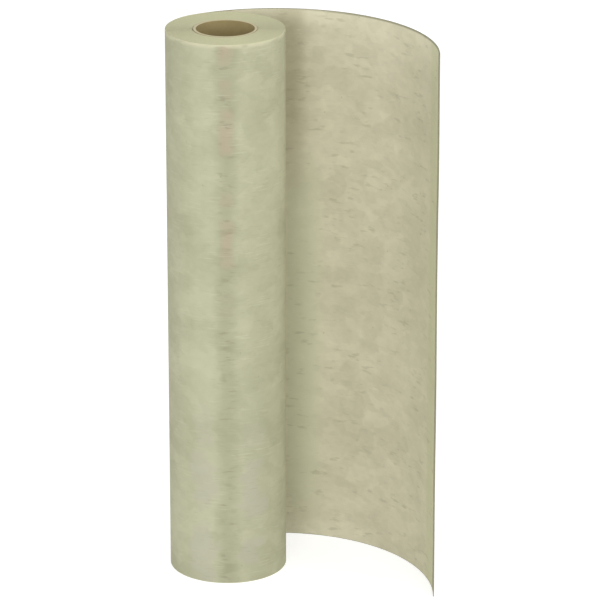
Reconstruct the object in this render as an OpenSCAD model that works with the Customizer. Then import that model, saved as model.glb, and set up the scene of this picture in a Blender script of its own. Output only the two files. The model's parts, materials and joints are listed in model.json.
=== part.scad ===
// Roll of waterproofing membrane, standing on its end.
//
// The sheet is wound on a cardboard core, and its last stretch has been let off the
// roll. The roll stands on the XY plane with its axis along +Z, and the origin is the
// centre of the core's bore at the bottom end. The loose end leaves the roll at its
// +Y side, heading towards +X, and curls round towards -Y, as it was wound.

/* [Sheet] */
// Width of the sheet, which is the height of the standing roll
sheet_width = 1000; // [500:50:2000]
// Thickness of the sheet
sheet_thickness = 1.5; // [1:0.1:3]

/* [Roll] */
// Outer diameter of the wound roll
roll_diameter = 210; // [160:5:280]
// Air left between one turn and the next
turn_gap = 0.1; // [0:0.05:0.4]

/* [Turns on the ends] */
// Width of the groove between two turns, across the roll's end
groove_width = 0.4; // [0.2:0.05:0.6]
// Depth of the groove between two turns, into the roll's end
groove_depth = 0.8; // [0.4:0.1:2]

/* [Core] */
// Inner diameter of the cardboard core, for the spindle that carries the roll
core_bore = 102; // [70:1:120]
// Wall thickness of the cardboard core
core_wall = 5; // [2:0.5:12]

/* [Loose end] */
// Outer radius that the sheet curls at once it is off the roll
curl_radius = 280; // [180:5:400]
// How far it curls on past a quarter turn before it ends, in degrees
end_turn = 32; // [5:1:60]

/* [Hidden] */
$fn = 180;

roll_radius = roll_diameter / 2;
bore_radius = core_bore / 2;
core_radius = bore_radius + core_wall;

// The wound stock between the core and the outside, shared out in whole turns
wound_depth = roll_radius - core_radius;
turns = floor(wound_depth / (sheet_thickness + turn_gap));
turn_pitch = wound_depth / turns;

// Radius of the line where turn i ends and the next one starts, counted from the core
function turn_radius(i) = core_radius + i * turn_pitch;

// Points across one end of the wound roll, outwards, with a V for each groove.
// The end lies at height z, and inward is +1 or -1: the way into the roll along Z.
function end_outline(z, inward) = [
    [core_radius, z],
    for (i = [1 : turns - 1])
        for (step = [-1, 0, 1])
            [turn_radius(i) + step * groove_width / 2, step == 0 ? z + inward * groove_depth : z],
    [roll_radius, z]
];

function reversed(points) = [for (i = [len(points) - 1 : -1 : 0]) points[i]];

// The wound turns as one turned solid, with a groove between turns on both ends
module wound_roll() {
    rotate_extrude()
        polygon(concat(end_outline(0, 1), reversed(end_outline(sheet_width, -1))));
}

// The section through the loose end, upright at its distance from the curl's centre
module curl_section() {
    translate([curl_radius - sheet_thickness, 0])
        square([sheet_thickness, sheet_width]);
}

// The part that was let off the roll: it leaves flush with the outermost turn, curls through
// a quarter turn, and curls on at the same radius to its cut edge
module loose_end() {
    translate([0, roll_radius - curl_radius]) {
        rotate_extrude(angle = 90)
            curl_section();
        mirror([0, 1, 0])
            rotate_extrude(angle = end_turn)
                curl_section();
    }
}

// The whole sheet: one piece, from the core to the cut edge
module membrane() {
    color([0.74, 0.75, 0.63]) {
        wound_roll();
        loose_end();
    }
}

// The cardboard tube that the sheet is wound on, flush with the roll's ends
module core_tube() {
    color([0.60, 0.52, 0.37])
        rotate_extrude()
            translate([bore_radius, 0])
                square([core_wall, sheet_width]);
}

membrane();
core_tube();
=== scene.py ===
"""Dresses a standing roll of waterproofing membrane: the wound sheet with its loose end, and the
cardboard core that it is wound on. All lengths are metres unless a name says otherwise."""

import json
import logging
import math
from collections.abc import Callable
from dataclasses import dataclass, field
from enum import Enum

import bmesh
import bpy
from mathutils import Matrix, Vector


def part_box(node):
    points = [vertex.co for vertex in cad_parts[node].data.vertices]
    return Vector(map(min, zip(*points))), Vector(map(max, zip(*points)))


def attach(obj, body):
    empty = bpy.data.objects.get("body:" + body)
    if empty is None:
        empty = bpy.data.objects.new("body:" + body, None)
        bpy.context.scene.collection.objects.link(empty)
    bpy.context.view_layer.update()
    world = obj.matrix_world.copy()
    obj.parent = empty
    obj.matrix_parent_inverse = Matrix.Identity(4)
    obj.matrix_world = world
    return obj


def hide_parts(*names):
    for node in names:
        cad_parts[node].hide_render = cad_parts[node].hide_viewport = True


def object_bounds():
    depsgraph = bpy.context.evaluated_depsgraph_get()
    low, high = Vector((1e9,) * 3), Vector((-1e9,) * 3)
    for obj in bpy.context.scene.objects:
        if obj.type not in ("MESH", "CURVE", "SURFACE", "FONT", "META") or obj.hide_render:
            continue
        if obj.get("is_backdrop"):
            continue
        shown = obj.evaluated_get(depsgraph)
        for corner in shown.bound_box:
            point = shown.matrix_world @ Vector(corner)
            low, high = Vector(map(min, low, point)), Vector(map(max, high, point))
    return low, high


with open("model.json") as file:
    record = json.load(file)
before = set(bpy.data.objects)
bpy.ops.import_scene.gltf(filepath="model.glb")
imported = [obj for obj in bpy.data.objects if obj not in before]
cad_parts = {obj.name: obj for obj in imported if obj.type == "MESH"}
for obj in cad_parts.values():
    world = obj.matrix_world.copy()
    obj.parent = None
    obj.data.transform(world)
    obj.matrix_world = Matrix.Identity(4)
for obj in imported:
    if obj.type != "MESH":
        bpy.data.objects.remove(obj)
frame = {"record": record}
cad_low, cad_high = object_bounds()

MM = 0.001
BODY = "root"
RUN_MAP = "sheet_run"
# Two heights or places closer than this are the same one
SAME = 1e-6
# Points closer than this are merged
WELD = 0.01 * MM
# Facets that meet at less than this are shaded as one smooth surface
SMOOTH_BELOW = math.radians(28)
# On a Mix node for colours, input 0 is the share, 6 and 7 are the colours and output 2 their blend
COLOUR_MIX = {"data_type": "RGBA"}
# Each layer of a finish takes a stretch of the noise of its own, so that no two match. These
# are the metres along and up from one stretch to the next, and where the kinds of layers start
LAYER_STEP = (7.3, 3.1)
STRAYS_LAYER = 9
BREAKS_LAYER = 13
STROKES_LAYER = 20
BUNCHES_AFTER = 5
Object = bpy.types.Object
Tree = bpy.types.NodeTree
Socket = bpy.types.NodeSocket
log = logging.getLogger("membrane_roll")


# ---------------------------------------------------------------- small helpers


def linear(hex_colour: str) -> tuple[float, float, float, float]:
    """Turns an sRGB hex colour into the linear colour that a shader socket takes.

    Args:
        hex_colour: six hex digits, with or without a leading #.
    Returns:
        Red, green, blue and an alpha of 1.
    """
    digits = hex_colour.lstrip("#")
    shown = [int(digits[i:i + 2], 16) / 255 for i in (0, 2, 4)]
    light = [c / 12.92 if c <= 0.04045 else ((c + 0.055) / 1.055) ** 2.4 for c in shown]
    return (*light, 1.0)


def add_node(tree: Tree, kind: str, settings: dict | None = None,
             values: dict | None = None, links: dict | None = None) -> bpy.types.Node:
    """Adds one shader node, sets it up and links it.

    Args:
        tree: the node tree that it goes into.
        kind: its type, without the leading ShaderNode.
        settings: its own properties, by name.
        values: what its unlinked inputs hold, by name or number.
        links: the output sockets that feed its inputs, by name or number.
    Returns:
        The new node.
    """
    node = tree.nodes.new("ShaderNode" + kind)
    for name, value in (settings or {}).items():
        setattr(node, name, value)
    for name, value in (values or {}).items():
        node.inputs[name].default_value = value
    for name, socket in (links or {}).items():
        tree.links.new(socket, node.inputs[name])
    return node


def start_material(name: str, values: dict) -> tuple[bpy.types.Material, Tree, bpy.types.Node]:
    """Starts a material.

    Args:
        name: what it is called.
        values: what its shader's own sockets hold, by name.
    Returns:
        The material, its nodes and its shader.
    """
    made = bpy.data.materials.new(name)
    made.use_nodes = True
    shader = made.node_tree.nodes["Principled BSDF"]
    for socket, value in values.items():
        shader.inputs[socket].default_value = value
    return made, made.node_tree, shader


def deselect_all() -> None:
    """Leaves no object selected, so that an operator acts on the next piece alone."""
    bpy.ops.object.select_all(action="DESELECT")


def select_only(piece: Object) -> None:
    """Selects one piece and makes it the one that operators act on."""
    deselect_all()
    piece.select_set(True)
    bpy.context.view_layer.objects.active = piece


def pick_points(piece: Object, wanted: Callable[[Vector], bool]) -> None:
    """Selects points of the piece in edit mode, by their place.

    Args:
        piece: the piece that is being edited.
        wanted: says of a place whether a point there is selected.
    """
    bpy.ops.mesh.select_mode(type="VERT")
    bpy.ops.mesh.select_all(action="DESELECT")
    shape = bmesh.from_edit_mesh(piece.data)
    for point in shape.verts:
        if wanted(point.co):
            point.select_set(True)
    shape.select_flush(True)
    bmesh.update_edit_mesh(piece.data)


def pick_faces(piece: Object, wanted: Callable[[Vector, Vector], bool]) -> None:
    """Selects faces of the piece in edit mode, by their middle and their normal.

    Args:
        piece: the piece that is being edited.
        wanted: says of a face's middle and normal whether it is selected.
    """
    bpy.ops.mesh.select_mode(type="FACE")
    bpy.ops.mesh.select_all(action="DESELECT")
    shape = bmesh.from_edit_mesh(piece.data)
    shape.normal_update()
    for face in shape.faces:
        if wanted(face.calc_center_median(), face.normal):
            face.select_set(True)
    bmesh.update_edit_mesh(piece.data)


def direction(bearing_deg: float, above_deg: float) -> Vector:
    """Turns a bearing and a height into a direction.

    Args:
        bearing_deg: degrees round from +X towards +Y.
        above_deg: degrees above the level.
    Returns:
        The direction, with a length of 1.
    """
    bearing = math.radians(bearing_deg)
    above = math.radians(above_deg)
    level = math.cos(above)
    return Vector((level * math.cos(bearing), level * math.sin(bearing), math.sin(above)))


# ---------------------------------------------------------------- finishes


@dataclass(frozen=True)
class Fade:
    """A share that rises softly from nothing, at one value, to full, at a higher or lower one."""

    start: float
    full: float

    def share(self, tree: Tree, value: Socket, most: float | Socket = 1.0) -> Socket:
        """Turns a value into a share.

        Args:
            tree: the material's nodes.
            value: what decides the share.
            most: the full share: a number, or another share that this one takes its part of.
        Returns:
            The share, from 0 to most.
        """
        low, high = sorted((self.start, self.full))
        step = add_node(tree, "MapRange", {"interpolation_type": "SMOOTHSTEP"},
                        {"From Min": low, "From Max": high, "To Min": 0.0, "To Max": 0.0},
                        {"Value": value})
        end = step.inputs["To Max" if self.full == high else "To Min"]
        if isinstance(most, Socket):
            tree.links.new(most, end)
        else:
            end.default_value = most
        return step.outputs["Result"]


@dataclass(frozen=True)
class Mottle:
    """One size of the fibres' unevenness: how big its patches are and how far they shade a face.

    Felted patches are roughly square with fairly clear edges, and the others are clouds.
    """

    long_mm: float
    tall_mm: float
    amount: float
    detail: float = 2.0
    felted: bool = False


@dataclass(frozen=True)
class Strokes:
    """Short strokes along the sheet, in bunches, where fibres lie in a bundle or have parted.

    They may keep near one line up the sheet, such as a crease.
    """

    colour: str
    long_mm: float
    tall_mm: float
    level: Fade
    most: float
    bunch_mm: float = 90.0
    near_mm: float | None = None
    bunches: Fade = Fade(0.42, 0.60)
    reach: Fade = Fade(24 * MM, 4 * MM)


@dataclass(frozen=True)
class Specks:
    """Stray dark fibre ends, 2 to 3 mm across and a hand apart.

    The sheet is laid out in cells, and a few of them have a speck at their middle, whose radius
    is given in cells.
    """

    colour: str = "#77735a"
    cells_per_metre: float = 30.0
    chance: float = 0.06
    radius: Fade = Fade(0.055, 0.015)
    most: float = 0.34


@dataclass(frozen=True)
class Band:
    """A tinted band up the sheet with soft edges, between two heights.

    With breaks it shows in stretches of about that length, with fainter ones between.
    """

    colour: str
    at_mm: float
    half_mm: float
    fade_mm: float
    most: float
    foot_mm: float = -300.0
    top_mm: float = 1300.0
    strays_mm: float = 8.0
    breaks_mm: float | None = None
    breaks: Fade = Fade(0.30, 0.56)
    end_fade_mm: float = 120.0


@dataclass(frozen=True)
class EdgeMark:
    """A tint along the sheet's upper edge, on one stretch of its run, which may be in tufts.

    Both fades are in metres: how deep below the edge, and how far past the line where the sheet
    leaves the roll.
    """

    colour: str
    depth: Fade
    past: Fade
    most: float
    tufted: bool = False
    tufts: Fade = Fade(0.24, 0.56)


@dataclass(frozen=True)
class FleeceFace:
    """Polyester fleece, needled and heat-bonded to a polymer sheet.

    It is dead matte and of one hue. The fibres lie unevenly, so its lightness is mottled, with
    short strokes along the sheet where they bunch or part and a few stray dark fibres.
    """

    name: str
    dark: str
    light: str
    mottles: tuple[Mottle, ...]
    bands: tuple[Band, ...]
    strokes: tuple[Strokes, ...]
    edge_marks: tuple[EdgeMark, ...]
    seed: float
    specks: Specks = Specks()
    fibres_per_metre: float = 900.0
    humps_per_metre: float = 55.0

    def material(self) -> bpy.types.Material:
        """Builds the finish.

        Returns:
            The material, which reads the piece's own map in metres along and up the sheet.
        """
        made, tree, shader = start_material(self.name, {
            "Roughness": 0.92, "IOR": 1.5, "Specular IOR Level": 0.2, "Sheen Weight": 0.06,
            "Sheen Roughness": 0.5})
        run = add_node(tree, "UVMap", {"uv_map": RUN_MAP}).outputs["UV"]
        place = add_node(tree, "Mapping", values={"Location": (self.seed, self.seed / 2, 0)},
                         links={"Vector": run}).outputs["Vector"]
        layers = [(self._band_share(tree, run, place, band), band.colour) for band in self.bands]
        layers += [(self._stroke_share(tree, run, place, STROKES_LAYER + number, strokes),
                    strokes.colour) for number, strokes in enumerate(self.strokes)]
        layers += [(self._speck_share(tree, place), self.specks.colour)]
        layers += [(self._edge_share(tree, run, mark), mark.colour) for mark in self.edge_marks]
        colour = self._ground(tree, place)
        for share, over in layers:
            colour = add_node(tree, "Mix", COLOUR_MIX, {7: linear(over)},
                              {0: share, 6: colour}).outputs[2]
        tree.links.new(colour, shader.inputs["Base Color"])
        tree.links.new(self._nap(tree, place), shader.inputs["Normal"])
        return made

    def _stretched(self, tree: Tree, place: Socket, layer: int, long_mm: float,
                   tall_mm: float) -> Socket:
        """Stretches the map so that a patch of the wanted size is one unit each way.

        Args:
            tree: the material's nodes.
            place: metres along and up the sheet.
            layer: which stretch of the noise is used, so that no two layers match.
            long_mm: a patch's length.
            tall_mm: a patch's height.
        Returns:
            The stretched map.
        """
        along = 1000 / long_mm
        up = 1000 / tall_mm
        moved = (layer * LAYER_STEP[0] * along, layer * LAYER_STEP[1] * up, 0)
        return add_node(tree, "Mapping", values={"Scale": (along, up, 1), "Location": moved},
                        links={"Vector": place}).outputs["Vector"]

    def _clouds(self, tree: Tree, patches: Socket, detail: float = 2.0) -> Socket:
        """Makes clouds of a level around 0.5, with so many finer layers in them."""
        return add_node(tree, "TexNoise", {"noise_dimensions": "2D"},
                        {"Scale": 1.0, "Detail": detail, "Roughness": 0.55},
                        {"Vector": patches}).outputs["Fac"]

    def _felt(self, tree: Tree, patches: Socket) -> Socket:
        """Makes squarish patches with soft frayed edges, each of its own level.

        Args:
            tree: the material's nodes.
            patches: the stretched map.
        Returns:
            The level, from 0 to 1.
        """
        frayed = add_node(tree, "TexNoise", {"noise_dimensions": "2D"},
                          {"Scale": 1.3, "Detail": 2.0}, {"Vector": patches})
        shove = add_node(tree, "VectorMath", {"operation": "MULTIPLY_ADD"},
                         {1: (0.7, 0.7, 0)}, {0: frayed.outputs["Color"], 2: patches})
        cells = add_node(tree, "TexVoronoi", {"voronoi_dimensions": "2D", "feature": "SMOOTH_F1",
                                              "distance": "CHEBYCHEV"},
                         {"Scale": 1.0, "Smoothness": 0.35}, {"Vector": shove.outputs["Vector"]})
        levels = add_node(tree, "SeparateColor", links={"Color": cells.outputs["Color"]})
        return levels.outputs["Red"]

    def _ground(self, tree: Tree, place: Socket) -> Socket:
        """Builds the mottled colour of the fibres, between the dark and the light one.

        Args:
            tree: the material's nodes.
            place: metres along and up the sheet.
        Returns:
            The colour.
        """
        shade = None
        for layer, mottle in enumerate(self.mottles):
            patches = self._stretched(tree, place, layer, mottle.long_mm, mottle.tall_mm)
            if mottle.felted:
                level = self._felt(tree, patches)
            else:
                level = self._clouds(tree, patches, mottle.detail)
            off = add_node(tree, "Math", {"operation": "SUBTRACT"}, {1: 0.5}, {0: level})
            links = {0: off.outputs["Value"]}
            if shade is not None:
                links[2] = shade
            shade = add_node(tree, "Math", {"operation": "MULTIPLY_ADD"},
                             {1: mottle.amount, 2: 0.5}, links).outputs["Value"]
        return add_node(tree, "Mix", COLOUR_MIX, {6: linear(self.dark), 7: linear(self.light)},
                        {0: shade}).outputs[2]

    def _stroke_share(self, tree: Tree, run: Socket, place: Socket, layer: int,
                      strokes: Strokes) -> Socket:
        """Strews strokes in bunches.

        Args:
            tree: the material's nodes.
            run: metres along and up the sheet.
            place: the same, moved by the finish's seed.
            layer: which stretch of the noise is used.
            strokes: their size and strength.
        Returns:
            Their share of the colour.
        """
        lines = self._stretched(tree, place, layer, strokes.long_mm, strokes.tall_mm)
        share = strokes.level.share(tree, self._clouds(tree, lines), strokes.most)
        bunches = self._stretched(tree, place, layer + BUNCHES_AFTER, strokes.bunch_mm,
                                  strokes.bunch_mm * 0.6)
        share = strokes.bunches.share(tree, self._clouds(tree, bunches, 1.0), share)
        if strokes.near_mm is None:
            return share
        return strokes.reach.share(tree, self._away_from(tree, run, strokes.near_mm), share)

    def _speck_share(self, tree: Tree, place: Socket) -> Socket:
        """Scatters the specks.

        Args:
            tree: the material's nodes.
            place: metres along and up the sheet.
        Returns:
            Their share of the colour.
        """
        cells = add_node(tree, "TexVoronoi", {"voronoi_dimensions": "2D", "feature": "F1"},
                         {"Scale": self.specks.cells_per_metre, "Randomness": 1.0},
                         {"Vector": place})
        lot = add_node(tree, "SeparateColor", links={"Color": cells.outputs["Color"]})
        few = add_node(tree, "Math", {"operation": "GREATER_THAN"}, {1: 1 - self.specks.chance},
                       {0: lot.outputs["Red"]})
        share = self.specks.radius.share(tree, cells.outputs["Distance"], self.specks.most)
        return add_node(tree, "Math", {"operation": "MULTIPLY"},
                        links={0: share, 1: few.outputs["Value"]}).outputs["Value"]

    def _band_share(self, tree: Tree, run: Socket, place: Socket, band: Band) -> Socket:
        """Says how much of a band's colour shows.

        Args:
            tree: the material's nodes.
            run: metres along and up the sheet.
            place: the same, moved by the finish's seed.
            band: the band.
        Returns:
            Its share of the colour.
        """
        up = add_node(tree, "SeparateXYZ", links={"Vector": run}).outputs["Y"]
        stray = self._clouds(tree, self._stretched(tree, place, STRAYS_LAYER, 60, 45), 3.0)
        # The clouds lie a quarter either side of 0.5, so this strays by strays_mm to each side
        strayed = add_node(tree, "VectorMath", {"operation": "MULTIPLY_ADD"},
                           {1: (4 * band.strays_mm * MM, 0, 0)}, {0: stray, 2: run})
        away = self._away_from(tree, strayed.outputs["Vector"], band.at_mm + 2 * band.strays_mm)
        half, edge = band.half_mm * MM, (band.half_mm + band.fade_mm) * MM
        foot, top, fade = band.foot_mm * MM, band.top_mm * MM, band.end_fade_mm * MM
        share = Fade(edge, half).share(tree, away, band.most)
        share = Fade(foot - fade, foot + fade).share(tree, up, share)
        share = Fade(top + fade, top - fade).share(tree, up, share)
        if band.breaks_mm is None:
            return share
        # A break goes straight across the band, so its patch is far longer than the band is wide
        stretches = self._stretched(tree, place, BREAKS_LAYER, 900, band.breaks_mm)
        return band.breaks.share(tree, self._clouds(tree, stretches, 1.0), share)

    def _away_from(self, tree: Tree, run: Socket, at_mm: float) -> Socket:
        """Measures how far a place is from a line up the sheet.

        Args:
            tree: the material's nodes.
            run: metres along and up the sheet.
            at_mm: where along the sheet the line is.
        Returns:
            The distance in metres.
        """
        along = add_node(tree, "SeparateXYZ", links={"Vector": run}).outputs["X"]
        off = add_node(tree, "Math", {"operation": "SUBTRACT"}, {1: at_mm * MM}, {0: along})
        return add_node(tree, "Math", {"operation": "ABSOLUTE"},
                        links={0: off.outputs["Value"]}).outputs["Value"]

    def _edge_share(self, tree: Tree, run: Socket, mark: EdgeMark) -> Socket:
        """Says how much of an edge mark's colour shows.

        Args:
            tree: the material's nodes.
            run: metres along and up the sheet.
            mark: the mark.
        Returns:
            Its share of the colour.
        """
        spot = add_node(tree, "SeparateXYZ", links={"Vector": run}).outputs
        depth = add_node(tree, "Math", {"operation": "SUBTRACT"}, {0: cad_high.z},
                         {1: spot["Y"]}).outputs["Value"]
        share = mark.depth.share(tree, depth, mark.most)
        share = mark.past.share(tree, spot["X"], share)
        if not mark.tufted:
            return share
        tufts = self._stretched(tree, run, 0, 40, 12)
        return mark.tufts.share(tree, self._clouds(tree, tufts), share)

    def _nap(self, tree: Tree, place: Socket) -> Socket:
        """Raises the nap: tangled fibres about a millimetre apart on soft humps.

        Args:
            tree: the material's nodes.
            place: metres along and up the sheet.
        Returns:
            The bumped normal.
        """
        fibres = add_node(tree, "TexNoise", {"noise_dimensions": "2D"},
                          {"Scale": self.fibres_per_metre, "Detail": 3.0, "Distortion": 1.2},
                          {"Vector": place})
        humps = add_node(tree, "TexNoise", {"noise_dimensions": "2D"},
                         {"Scale": self.humps_per_metre, "Detail": 2.0}, {"Vector": place})
        coarse = add_node(tree, "Bump", values={"Strength": 0.25, "Distance": 0.8 * MM},
                          links={"Height": humps.outputs["Fac"]})
        fine = add_node(tree, "Bump", values={"Strength": 0.3, "Distance": 0.15 * MM},
                        links={"Height": fibres.outputs["Fac"], "Normal": coarse.outputs["Normal"]})
        return fine.outputs["Normal"]


@dataclass(frozen=True)
class SlitEdge:
    """The slit edge of the sheet: pressed fleece on both sides of a thin polymer film.

    It is matte, and darker along the loose end.
    """

    name: str
    clean: str
    pressed: str
    dark_loose_end: str
    tufts_per_metre: float = 160.0

    def material(self) -> bpy.types.Material:
        """Builds the finish.

        Returns:
            The material, which darkens along the loose end.
        """
        made, tree, shader = start_material(
            self.name, {"Roughness": 0.9, "Specular IOR Level": 0.2})
        run = add_node(tree, "UVMap", {"uv_map": RUN_MAP}).outputs["UV"]
        along = add_node(tree, "SeparateXYZ", links={"Vector": run}).outputs["X"]
        place = add_node(tree, "TexCoord").outputs["Object"]
        fibres = add_node(tree, "TexNoise", values={"Scale": self.tufts_per_metre, "Detail": 3.0},
                          links={"Vector": place}).outputs["Fac"]
        fresh = add_node(tree, "Mix", COLOUR_MIX,
                         {6: linear(self.clean), 7: linear(self.pressed)}, {0: fibres})
        darker_end = add_node(tree, "Mix", COLOUR_MIX, {7: linear(self.dark_loose_end)},
                        {0: Fade(0, 60 * MM).share(tree, along), 6: fresh.outputs[2]})
        tree.links.new(darker_end.outputs[2], shader.inputs["Base Color"])
        fuzz = add_node(tree, "Bump", values={"Strength": 0.4, "Distance": 0.2 * MM},
                        links={"Height": fibres})
        tree.links.new(fuzz.outputs["Normal"], shader.inputs["Normal"])
        return made


@dataclass(frozen=True)
class KraftBoard:
    """Brown kraft cardboard, wound in a spiral from several plies: matte, with a soft seam."""

    name: str
    wall: str
    pale: str
    end: str
    flecks_per_metre: float = 60.0

    def material(self) -> bpy.types.Material:
        """Builds the finish.

        Returns:
            The material, which is paler where the tube was sawn off.
        """
        made, tree, shader = start_material(
            self.name, {"Roughness": 0.85, "Specular IOR Level": 0.3})
        place = add_node(tree, "TexCoord").outputs["Object"]
        pulp = add_node(tree, "TexNoise", values={"Scale": self.flecks_per_metre, "Detail": 6.0},
                        links={"Vector": place}).outputs["Fac"]
        wall = add_node(tree, "Mix", COLOUR_MIX,
                        {6: linear(self.wall), 7: linear(self.pale)}, {0: pulp})
        facing = add_node(tree, "SeparateXYZ",
                          links={"Vector": add_node(tree, "NewGeometry").outputs["True Normal"]})
        sawn = add_node(tree, "Math", {"operation": "ABSOLUTE"}, links={0: facing.outputs["Z"]})
        tube = add_node(tree, "Mix", COLOUR_MIX, {7: linear(self.end)},
                        {0: sawn.outputs["Value"], 6: wall.outputs[2]})
        tree.links.new(tube.outputs[2], shader.inputs["Base Color"])
        bump = add_node(tree, "Bump", values={"Strength": 0.3, "Distance": 0.2 * MM},
                        links={"Height": pulp})
        tree.links.new(bump.outputs["Normal"], shader.inputs["Normal"])
        return made


# Painted highlight: a pale band in tufts along the upper edge of the roll's turns, where light
# catches the rounded top
TOP_EDGE_HIGHLIGHT = EdgeMark("#d8d4b4", Fade(10 * MM, 2 * MM), Fade(20 * MM, -20 * MM), 0.6, tufted=True)
# How far from the edge, and past where the sheet leaves the roll, the loose end is darker along its
# upper edge
DARK_UPPER_EDGE = (Fade(4.5 * MM, 1.5 * MM), Fade(160 * MM, 300 * MM), 0.75)

# Grey-green on the side that is wound outwards, with a soiled crease up the roll's front
CREASE_MM = -277
OUTER_FLEECE = FleeceFace(
    name="polyester_fleece_sage", dark="#919174", light="#d0d0b2", seed=3.0,
    edge_marks=(EdgeMark("#8a8a70", *DARK_UPPER_EDGE), TOP_EDGE_HIGHLIGHT),
    mottles=(
        Mottle(210, 170, 0.21, 1.0),
        Mottle(90, 80, 0.14, 1.0),
        Mottle(46, 36, 0.12, felted=True),
        Mottle(25, 19, 0.11, felted=True),
        Mottle(18, 13, 0.12, 1.0),
        # the nap itself, drawn a few times coarser than the real fibres so that it shows
        Mottle(3.6, 2.4, 0.035),
    ),
    bands=(
        Band("#9e9e83", CREASE_MM, 1, 28, 0.50),
        Band("#b6a68f", CREASE_MM, 3, 15, 0.60, foot_mm=540, strays_mm=5, breaks_mm=42),
        Band("#c4c4a7", CREASE_MM + 44, 8, 24, 0.24),
        Band("#9c9c80", CREASE_MM - 62, 10, 30, 0.16),
        Band("#b5b2a2", CREASE_MM - 46, 10, 18, 0.46, top_mm=290, strays_mm=16, breaks_mm=52),
        Band("#b5b2a2", CREASE_MM + 46, 10, 18, 0.46, top_mm=290, strays_mm=16, breaks_mm=66),
    ),
    strokes=(
        Strokes("#c9c9ad", 44, 2.8, Fade(0.58, 0.74), 0.32),
        Strokes("#98987e", 22, 3.0, Fade(0.59, 0.77), 0.30),
        Strokes("#8c8b71", 60, 22.0, Fade(0.50, 0.64), 0.34, 90, near_mm=CREASE_MM),
        Strokes("#8c8770", 30, 6.0, Fade(0.54, 0.68), 0.44, 60, near_mm=CREASE_MM),
    ),
)

# Warmer and paler on the side that is wound inwards, with painted shade beside the roll and painted
# light, paler and greener, just past it
INNER_FLEECE = FleeceFace(
    name="polyester_fleece_beige", dark="#aba78b", light="#f4eed4", seed=11.0,
    edge_marks=(EdgeMark("#8f8c72", *DARK_UPPER_EDGE), TOP_EDGE_HIGHLIGHT),
    mottles=(
        Mottle(200, 170, 0.23, 1.0),
        Mottle(70, 55, 0.11, 1.0),
        Mottle(40, 30, 0.12, felted=True),
        Mottle(21, 14, 0.11, felted=True),
        Mottle(15, 11, 0.12, 1.0),
        # the nap itself, drawn a few times coarser than the real fibres so that it shows
        Mottle(3.6, 2.4, 0.035),
    ),
    bands=(
        # Painted light: a paler, greener band beside the roll, past its shade
        Band("#d4d6b7", 192, 14, 30, 0.75, foot_mm=60, top_mm=690, strays_mm=6),
        # Painted shade: a darker brown band beside the roll, in its upper part
        Band("#a49b7b", 168, 10, 28, 0.40, foot_mm=740, strays_mm=6),
        Band("#d8d5b5", 500, 50, 90, 0.25),
        Band("#c6c89f", 538, 20, 18, 0.55, strays_mm=3),
        Band("#8f8c70", 600, 26, 16, 0.80, strays_mm=2),
    ),
    strokes=(
        Strokes("#e0dbbf", 24, 1.8, Fade(0.60, 0.74), 0.40),
        Strokes("#9f9b7c", 16, 5.0, Fade(0.58, 0.84), 0.13, 60),
        Strokes("#a39f80", 32, 9.0, Fade(0.58, 0.76), 0.36, 70),
    ),
)

CUT_EDGE = SlitEdge("slit_fleece_edge", clean="#d0cfac", pressed="#c6c5a2", dark_loose_end="#87876c")

CORE_BOARD = KraftBoard("kraft_board_spiral_wound", wall="#93845a", pale="#a7986c", end="#ccc3a0")


# ---------------------------------------------------------------- the sheet


class Side(Enum):
    """The parts of the sheet's skin that are finished differently, numbered as material slots."""

    OUTER = 0
    INNER = 1
    EDGE = 2


FINISHES = {Side.OUTER: OUTER_FLEECE, Side.INNER: INNER_FLEECE, Side.EDGE: CUT_EDGE}


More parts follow.
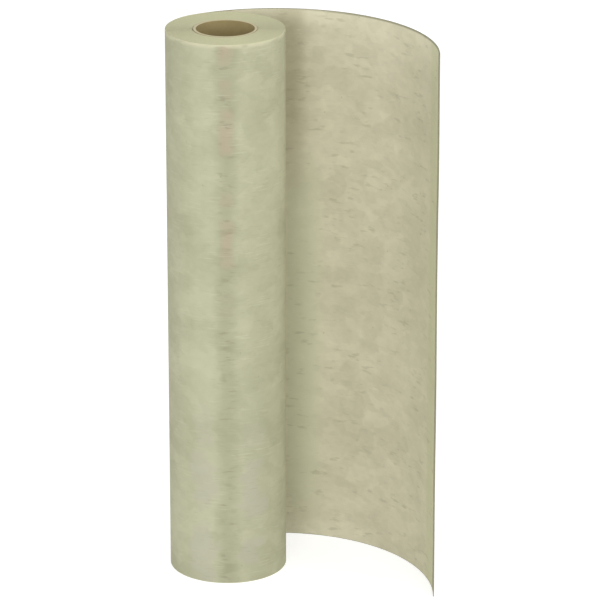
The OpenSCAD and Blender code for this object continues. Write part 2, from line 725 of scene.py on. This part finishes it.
@dataclass
class Membrane:
    """The whole sheet: its wound turns and the end that was let off the roll.

    The turns are half circles, drawn by turns about two centres that lie half a turn's growth
    apart, so they make a spiral. They are one section, spun half a turn about each centre. The
    loose end carries on from the outermost turn and curls towards +X and then -Y.
    """

    low: Vector
    high: Vector
    core_radius: float
    turns: int = 30
    groove_width: float = 0.4 * MM
    groove_depth: float = 0.8 * MM
    rows: int = 40
    half_turn_steps: int = 72
    curl_steps: int = 96
    # How far the edges wander up and down, and in how many turns they come to that
    wander: float = 0.7 * MM
    wander_turns: float = 2.0
    # How deep the loose end's waves are, how long they are along X and Y, and how soon they start
    ripple: float = 1.2 * MM
    waves: tuple[tuple[str, float], ...] = (("X", 0.21), ("Y", 0.26))
    ripple_starts: float = 0.12
    # The points of the loose end, by number
    loose: set[int] = field(default_factory=set)

    @property
    def roll_radius(self) -> float:
        """The roll's outer radius, which is also where the loose end leaves it."""
        return self.high.y

    @property
    def height(self) -> float:
        """The sheet's width, which stands upright."""
        return self.high.z - self.low.z

    @property
    def pitch(self) -> float:
        """How much the roll grows with each turn. A spiral takes one growth more than its turns."""
        return (self.roll_radius - self.core_radius) / (self.turns + 1)

    @property
    def curl_radius(self) -> float:
        """The loose end's outer radius, which is also how far it reaches along +X."""
        return self.high.x

    @property
    def curl_centre(self) -> Vector:
        """The centre that the loose end curls round."""
        return Vector((0, self.roll_radius - self.curl_radius, 0))

    @property
    def curl_angle(self) -> float:
        """How far the loose end curls, in radians, until it reaches its lowest Y."""
        return math.acos((self.low.y - self.curl_centre.y) / self.curl_radius)

    def build(self) -> Object:
        """Models and dresses the sheet.

        Returns:
            The finished piece.
        """
        piece = self._draw_section()
        self._cut_grooves(piece)
        self._wind(piece)
        self._let_off(piece)
        bpy.ops.mesh.select_all(action="SELECT")
        bpy.ops.mesh.normals_make_consistent(inside=False)
        bpy.ops.object.mode_set(mode="OBJECT")
        self._note_loose(piece)
        self._let_edges_wander(piece)
        self._ripple(piece)
        self._map_run(piece)
        self._dress(piece)
        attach(piece, BODY)
        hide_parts("membrane")
        return piece

    def _draw_section(self) -> Object:
        """Draws the section through the wound turns: one column for each turn.

        Returns:
            The new piece, in edit mode.
        """
        deselect_all()
        depth = self.turns * self.pitch
        bpy.ops.mesh.primitive_grid_add(x_subdivisions=self.turns, y_subdivisions=self.rows, size=1)
        piece = bpy.context.object
        piece.name = "membrane_sheet"
        bpy.ops.transform.resize(value=(depth, self.height, 1))
        bpy.ops.object.transform_apply(location=False, rotation=False, scale=True)
        piece.rotation_euler = (math.pi / 2, 0, math.pi / 2)
        piece.location = (0, self.roll_radius - depth / 2, self.low.z + self.height / 2)
        bpy.ops.object.transform_apply(location=True, rotation=True, scale=True)
        bpy.ops.object.mode_set(mode="EDIT")
        return piece

    def _cut_grooves(self, piece: Object) -> None:
        """Cuts a V between the turns at both ends, and breaks the outermost corners alike.

        Args:
            piece: the section, in edit mode.
        """
        half = self.groove_width / 2
        low, high = self.low.z, self.high.z
        pick_points(piece, lambda at: min(at.z - low, high - at.z) < half / 2)
        bpy.ops.mesh.bevel(affect="VERTICES", offset=half, segments=1)
        pick_faces(piece, lambda mid, _: min(mid.z - low, high - mid.z) < half)
        bpy.ops.mesh.delete(type="FACE")
        for end, inward in ((low, 1), (high, -1)):
            pick_points(piece, lambda at: abs(abs(at.z - end) - half) < half / 4)
            bpy.ops.transform.translate(value=(0, 0, inward * (self.groove_depth - half)))

    def _wind(self, piece: Object) -> None:
        """Spins the section half a turn about each centre, and joins the ends of the turns.

        Args:
            piece: the section, in edit mode.
        """
        bpy.ops.mesh.select_all(action="SELECT")
        for side in (1, -1):
            bpy.ops.mesh.spin(steps=self.half_turn_steps, angle=-math.pi,
                              center=(0, side * self.pitch / 4, 0), axis=(0, 0, 1))
        inner = self.roll_radius - self.turns * self.pitch
        outer = self.roll_radius - self.pitch
        pick_faces(piece, lambda mid, normal: abs(mid.x) < SAME and abs(normal.x) > 0.99
                   and inner < mid.y < outer)
        bpy.ops.mesh.delete(type="FACE")
        bpy.ops.mesh.select_all(action="SELECT")
        bpy.ops.mesh.remove_doubles(threshold=WELD)

    def _let_off(self, piece: Object) -> None:
        """Spins the loose end out of the outermost turn's open face, round the curl's centre.

        Args:
            piece: the wound roll, in edit mode.
        """
        root = self.roll_radius - self.pitch
        pick_faces(piece, lambda mid, normal: abs(mid.x) < SAME and abs(normal.x) > 0.99
                   and mid.y > root)
        bpy.ops.mesh.spin(steps=self.curl_steps, angle=self.curl_angle,
                          center=self.curl_centre, axis=(0, 0, 1))

    def _note_loose(self, piece: Object) -> None:
        """Notes which points were let off the roll: those on the curl, past its root.

        Args:
            piece: the whole sheet, in object mode, before it is rippled.
        """
        nearest = self.curl_radius - self.pitch - 0.001 * MM
        for point in piece.data.vertices:
            arm = point.co - self.curl_centre
            if point.co.x > WELD and math.hypot(arm.x, arm.y) > nearest:
                self.loose.add(point.index)

    def _is_loose(self, face: bpy.types.MeshPolygon) -> bool:
        """Says whether a face belongs to the loose end."""
        return not self.loose.isdisjoint(face.vertices)

    def _most_lift(self, turns_in: float) -> float:
        """Says how far up the sheet can have wandered, so many turns in from the loose end."""
        return self.wander * min(1.0, max(0.0, turns_in) / self.wander_turns)

    def _lift(self, turns_in: float) -> float:
        """Says how far the sheet had wandered up the roll at a place along its run.

        Args:
            turns_in: how many turns inwards of the loose end's root the place is.
        Returns:
            The lift in metres, from nothing at the loose end to the whole wander.
        """
        drift = 0.5 + 0.3 * math.sin(2.1 * turns_in + 0.7) + 0.2 * math.sin(5.3 * turns_in + 2.1)
        return self._most_lift(turns_in) * drift

    def _let_edges_wander(self, piece: Object) -> None:
        """Sets each turn's edges a little high or low, as the sheet wandered while it was wound.

        Args:
            piece: the whole sheet, in object mode.
        """
        # Points nearer to an end than this are on a turn's edge or in a groove's bottom
        near_end = 1.5 * self.groove_depth
        for point in piece.data.vertices:
            at = point.co
            up = at.z - self.low.z
            down = self.high.z - at.z
            if min(up, down) > near_end or point.index in self.loose:
                continue
            turned = (math.atan2(at.y, at.x) - math.pi / 2) % math.tau / math.tau
            # A point on the cut may read as a whole turn on
            turned = 0.0 if turned > 0.9999 else turned
            line = (self.roll_radius - math.hypot(at.x, at.y)) / self.pitch - turned
            # A point in a groove lies between two turns, and a point on an edge in one
            if min(up, down) > self.groove_depth / 2:
                inward = [round(line) + turned - 1, round(line) + turned]
            else:
                inward = [math.floor(line) + turned]
            lift = sum(self._lift(turns_in) for turns_in in inward) / len(inward)
            # The upper edge goes down by as much as the lower one can come up
            at.z += lift if up < down else lift - self._most_lift(inward[-1])

    def _ripple(self, piece: Object) -> None:
        """Gives the loose end the slight waves of a sheet that was rolled up.

        Args:
            piece: the whole sheet, in object mode.
        """
        free = piece.vertex_groups.new(name="free_sheet")
        for number in self.loose:
            off_roll = self._curled(piece.data.vertices[number].co) * self.curl_radius
            free.add([number], min(1.0, off_roll / self.ripple_starts), "REPLACE")
        select_only(piece)
        for axis, size in self.waves:
            waves = bpy.data.textures.new("sheet_waves_" + axis.lower(), "CLOUDS")
            waves.noise_scale = size
            waves.noise_depth = 1
            shove = piece.modifiers.new("waves_" + axis.lower(), "DISPLACE")
            shove.texture = waves
            shove.texture_coords = "LOCAL"
            shove.direction = axis
            shove.strength = self.ripple
            shove.mid_level = 0.5
            shove.vertex_group = free.name
            bpy.ops.object.modifier_apply(modifier=shove.name)
        piece.vertex_groups.clear()

    def _curled(self, place: Vector) -> float:
        """Says how far round the curl a place is, in radians from where it leaves the roll."""
        arm = place - self.curl_centre
        return math.atan2(arm.x, arm.y)

    def _along(self, place: Vector, middle: Vector, loose: bool) -> float:
        """Measures how far along the sheet a place is.

        Args:
            place: the place that is measured.
            middle: the middle of its face, which says on which side of the cut it lies.
            loose: whether its face belongs to the loose end.
        Returns:
            Metres past the line where the sheet leaves the roll, negative on the roll.
        """
        if loose:
            return self.curl_radius * self._curled(place)
        bearing = math.atan2(middle.y, middle.x)
        turned = (bearing - math.pi / 2) % math.tau
        step = (math.atan2(place.y, place.x) - bearing + math.pi) % math.tau - math.pi
        return -self.roll_radius * (turned + step)

    def _map_run(self, piece: Object) -> None:
        """Gives the piece a map in metres: along the sheet, and up it.

        Args:
            piece: the whole sheet, in object mode.
        """
        mesh = piece.data
        for layer in list(mesh.uv_layers):
            mesh.uv_layers.remove(layer)
        layer = mesh.uv_layers.new(name=RUN_MAP)
        for face in mesh.polygons:
            middle = face.center
            loose = self._is_loose(face)
            for corner in face.loop_indices:
                place = mesh.vertices[mesh.loops[corner].vertex_index].co
                layer.data[corner].uv = (self._along(place, middle, loose), place.z)

    def _side_of(self, face: bpy.types.MeshPolygon) -> Side:
        """Says which finish a face of the sheet takes.

        Args:
            face: the face.
        Returns:
            The side.
        """
        normal = face.normal
        # The ends, and the slopes of the grooves in them, face up or down at least a little
        if abs(normal.z) > 0.15:
            return Side.EDGE
        centre = self.curl_centre if self._is_loose(face) else Vector((0, 0, 0))
        outward = face.center - centre
        outward.z = 0
        facing = normal.dot(outward.normalized())
        # The cut across the sheet faces along its run
        if abs(facing) < 0.5:
            return Side.EDGE
        return Side.OUTER if facing > 0 else Side.INNER

    def _dress(self, piece: Object) -> None:
        """Gives each side of the sheet its finish.

        Args:
            piece: the whole sheet, in object mode.
        """
        for side in Side:
            piece.data.materials.append(FINISHES[side].material())
        for face in piece.data.polygons:
            face.material_index = self._side_of(face).value
        select_only(piece)
        bpy.ops.object.shade_smooth_by_angle(angle=SMOOTH_BELOW)


# ---------------------------------------------------------------- the core


@dataclass
class CoreTube:
    """The cardboard tube that the sheet is wound on: kraft plies, wound in a spiral.

    Both walls are screwed up from a short upright line with a nick in it, which leaves the seam
    between one lap of the ply and the next.
    """

    low: Vector
    high: Vector
    bore_radius: float
    ply_width: float = 120 * MM
    seam_width: float = 1.0 * MM
    seam_depth: float = 0.35 * MM
    chamfer: float = 0.4 * MM
    steps: int = 120

    def build(self) -> Object:
        """Models and dresses the tube.

        Returns:
            The finished piece.
        """
        inner = self._wall("core_tube_kraft", self.bore_radius, self.seam_depth, self.chamfer)
        outer = self._wall("core_outer_wall", self.high.x, -self.seam_depth, -self.chamfer)
        select_only(inner)
        outer.select_set(True)
        bpy.ops.object.join()
        bpy.ops.object.mode_set(mode="EDIT")
        for end in (self.low.z, self.high.z):
            pick_points(inner, lambda at: abs(at.z - end) < SAME)
            bpy.ops.mesh.fill()
        bpy.ops.mesh.select_all(action="SELECT")
        bpy.ops.mesh.normals_make_consistent(inside=False)
        bpy.ops.object.mode_set(mode="OBJECT")
        inner.data.materials.append(CORE_BOARD.material())
        bpy.ops.object.shade_smooth_by_angle(angle=SMOOTH_BELOW)
        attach(inner, BODY)
        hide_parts("core_tube")
        return inner

    def _wall(self, name: str, radius: float, nick: float, chamfer: float) -> Object:
        """Screws one wall of the tube up from its upright line, and trims it to length.

        Args:
            name: the new piece's name.
            radius: the wall's radius.
            nick: how far outwards the seam is cut.
            chamfer: how far outwards the rims are broken.
        Returns:
            The wall, open at both ends, whose last loops lie in the tube's end planes.
        """
        around = math.tau * radius
        rise = self.ply_width * around / math.sqrt(around ** 2 - self.ply_width ** 2)
        deselect_all()
        bpy.ops.mesh.primitive_plane_add(size=1)
        wall = bpy.context.object
        wall.name = name
        bpy.ops.object.mode_set(mode="EDIT")
        pick_points(wall, lambda at: at.x < 0)
        bpy.ops.mesh.delete(type="VERT")
        bpy.ops.mesh.select_all(action="SELECT")
        bpy.ops.transform.resize(value=(1, rise, 1))
        bpy.ops.transform.rotate(value=math.pi / 2, orient_axis="X", center_override=(0, 0, 0))
        bpy.ops.transform.translate(value=(radius - 0.5, 0, self.low.z - rise))
        bpy.ops.mesh.subdivide(number_cuts=3)
        self._nick_line(wall, rise, nick)
        bpy.ops.object.mode_set(mode="OBJECT")
        lap = wall.modifiers.new("laps", "SCREW")
        lap.axis = "Z"
        lap.screw_offset = rise
        lap.steps = self.steps
        lap.iterations = math.ceil((self.high.z - self.low.z) / rise) + 2
        bpy.ops.object.modifier_apply(modifier=lap.name)
        bpy.ops.object.mode_set(mode="EDIT")
        bpy.ops.mesh.select_all(action="SELECT")
        bpy.ops.mesh.remove_doubles(threshold=WELD)
        for end, way in ((self.low.z, -1), (self.high.z, 1)):
            self._trim(wall, end, way, 1 + chamfer / radius)
        bpy.ops.object.mode_set(mode="OBJECT")
        return wall

    def _nick_line(self, wall: Object, rise: float, nick: float) -> None:
        """Moves the line's points so that it is straight but for half a nick at each end.

        Args:
            wall: the upright line of five evenly spaced points, in edit mode.
            rise: its length.
            nick: how far its ends move out from the axis.
        """
        foot = self.low.z - rise
        shift = rise / 4 - self.seam_width / 2
        pick_points(wall, lambda at: abs(at.z - foot - rise / 4) < MM)
        bpy.ops.transform.translate(value=(0, 0, -shift))
        pick_points(wall, lambda at: abs(at.z - foot - rise * 3 / 4) < MM)
        bpy.ops.transform.translate(value=(0, 0, shift))
        for end in (foot, foot + rise):
            pick_points(wall, lambda at: abs(at.z - end) < self.seam_width / 4)
            bpy.ops.transform.translate(value=(nick, 0, 0))

    def _trim(self, wall: Object, end: float, way: int, flare: float) -> None:
        """Cuts a wall off just short of its end plane and draws its rim out to the plane.

        Args:
            wall: the screwed wall, in edit mode.
            end: the end plane's height.
            way: +1 at the top and -1 at the bottom.
            flare: how much wider the rim is drawn.
        """
        cut = end - way * self.chamfer
        bpy.ops.mesh.select_all(action="SELECT")
        bpy.ops.mesh.bisect(plane_co=(0, 0, cut), plane_no=(0, 0, way), clear_outer=True,
                            threshold=SAME)
        pick_points(wall, lambda at: abs(at.z - cut) < SAME)
        bpy.ops.mesh.extrude_region_move(TRANSFORM_OT_translate={"value": (0, 0, end - cut)})
        bpy.ops.transform.resize(value=(flare, flare, 1), center_override=(0, 0, end))


# ---------------------------------------------------------------- the studio


@dataclass(frozen=True)
class Viewpoint:
    """Where the camera stands, and which way it looks: from the front left and a little above."""

    bearing_deg: float = 241.35
    above_deg: float = 19.77
    distance: float = 7.3
    turn_right_deg: float = 1.077
    lens_mm: float = 247.4

    def set_up(self, aim: Vector) -> Object:
        """Makes the scene's camera.

        Args:
            aim: the middle of the standing roll.
        Returns:
            The camera.
        """
        lens = bpy.data.cameras.new("camera")
        lens.lens = self.lens_mm
        lens.sensor_width = 36.0
        lens.clip_end = 200.0
        camera = bpy.data.objects.new("camera", lens)
        camera.location = aim + self.distance * direction(self.bearing_deg, self.above_deg)
        turn_deg = self.bearing_deg + 90 - self.turn_right_deg
        camera.rotation_euler = (math.radians(90 - self.above_deg), 0, math.radians(turn_deg))
        bpy.context.scene.collection.objects.link(camera)
        bpy.context.scene.camera = camera
        return camera


@dataclass(frozen=True)
class Softbox:
    """A large soft lamp on a stand, placed by its bearing and height from the object."""

    name: str
    bearing_deg: float
    above_deg: float
    size: float
    watts: float
    distance: float = 5.0

    def light(self, aim: Vector) -> Object:
        """Hangs the lamp and points it.

        Args:
            aim: the place that it faces.
        Returns:
            The lamp.
        """
        lamp = bpy.data.lights.new(self.name, "AREA")
        lamp.shape = "DISK"
        lamp.size = self.size
        lamp.energy = self.watts
        holder = bpy.data.objects.new(self.name, lamp)
        way = direction(self.bearing_deg, self.above_deg)
        holder.location = aim + self.distance * way
        holder.rotation_euler = (-way).to_track_quat("-Z", "Y").to_euler()
        holder.visible_camera = False
        bpy.context.scene.collection.objects.link(holder)
        return holder


@dataclass(frozen=True)
class Studio:
    """A back-lit white table under a pale sky, with soft lamps round it.

    The table and the sky have one strength where they are looked at, and another as light.
    """

    floor_radius: float = 2.4
    # How far from the roll's middle, towards the loose end, the lamps are pointed
    lean: tuple[float, float, float] = (0.05, -0.03, 0.0)
    table_seen: float = 0.70
    table_fill: float = 0.3
    sky_seen: float = 1.1
    sky_fill: float = 0.3
    lamps: tuple[Softbox, ...] = (
        Softbox("left_softbox", 150, 15, 2.2, 52),
        Softbox("side_softbox", 190, 25, 2.2, 24),
        Softbox("front_left_softbox", 225, 15, 2.2, 74),
        Softbox("front_right_softbox", 300, 15, 2.2, 48),
        Softbox("high_front_softbox", 262, 35, 2.2, 70),
        Softbox("high_right_softbox", 345, 63, 3.0, 62),
        Softbox("back_softbox", 70, 10, 2.6, 76),
    )

    def set_up(self, middle: Vector) -> None:
        """Builds the table, the sky and the lamps.

        Args:
            middle: the middle of the standing roll.
        """
        self._table()
        self._sky()
        for lamp in self.lamps:
            lamp.light(middle + Vector(self.lean))
        bpy.context.scene.view_settings.view_transform = "Standard"

    def _table(self) -> None:
        """Lays the white table top, whose light from below fills the shadows."""
        deselect_all()
        bpy.ops.mesh.primitive_circle_add(vertices=96, radius=self.floor_radius, fill_type="NGON",
                                          location=(0, 0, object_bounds()[0].z))
        table = bpy.context.object
        table.name = "studio_table"
        acrylic, tree, shader = start_material("white_acrylic_backlit", {
            "Base Color": (0.5, 0.5, 0.5, 1), "Roughness": 1.0, "Specular IOR Level": 0.0,
            "Emission Color": (1, 1, 1, 1)})
        glow = self._glow(tree, self.table_seen, self.table_fill)
        tree.links.new(glow, shader.inputs["Emission Strength"])
        table.data.materials.append(acrylic)
        table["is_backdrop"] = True

    def _glow(self, tree: Tree, seen: float, fill: float) -> Socket:
        """Gives a glow one strength where it is looked at and another as light.

        Args:
            tree: the node tree of the table or the sky.
            seen: its strength where it is looked at.
            fill: its strength as light on the object.
        Returns:
            The socket that gives the strength.
        """
        looked_at = add_node(tree, "LightPath").outputs["Is Camera Ray"]
        strength = add_node(tree, "MapRange", values={"To Min": fill, "To Max": seen},
                            links={"Value": looked_at})
        return strength.outputs["Result"]

    def _sky(self) -> None:
        """Lights the scene evenly, with a white backdrop behind."""
        sky = bpy.data.worlds.new("pale_sky")
        bpy.context.scene.world = sky
        sky.use_nodes = True
        tree = sky.node_tree
        glow = self._glow(tree, self.sky_seen, self.sky_fill)
        tree.links.new(glow, tree.nodes["Background"].inputs["Strength"])
        tree.nodes["Background"].inputs["Color"].default_value = (1, 1, 1, 1)


def main() -> None:
    """Sets up the camera, models and dresses the pieces, and lights them."""
    logging.basicConfig(level=logging.INFO, format="%(name)s: %(message)s")
    low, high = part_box("membrane")
    core_low, core_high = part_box("core_tube")
    middle = (core_low + core_high) / 2
    Viewpoint().set_up(middle)
    sheet = Membrane(low, high, core_high.x).build()
    log.info("%s: %d faces", sheet.name, len(sheet.data.polygons))
    bore = next(m for m in frame["record"]["mounts"] if m["name"] == "core_bore")
    tube = CoreTube(core_low, core_high, bore["dims"]["r_mm"] * MM).build()
    log.info("%s: %d faces", tube.name, len(tube.data.polygons))
    Studio().set_up(middle)


if __name__ == "__main__":
    main()
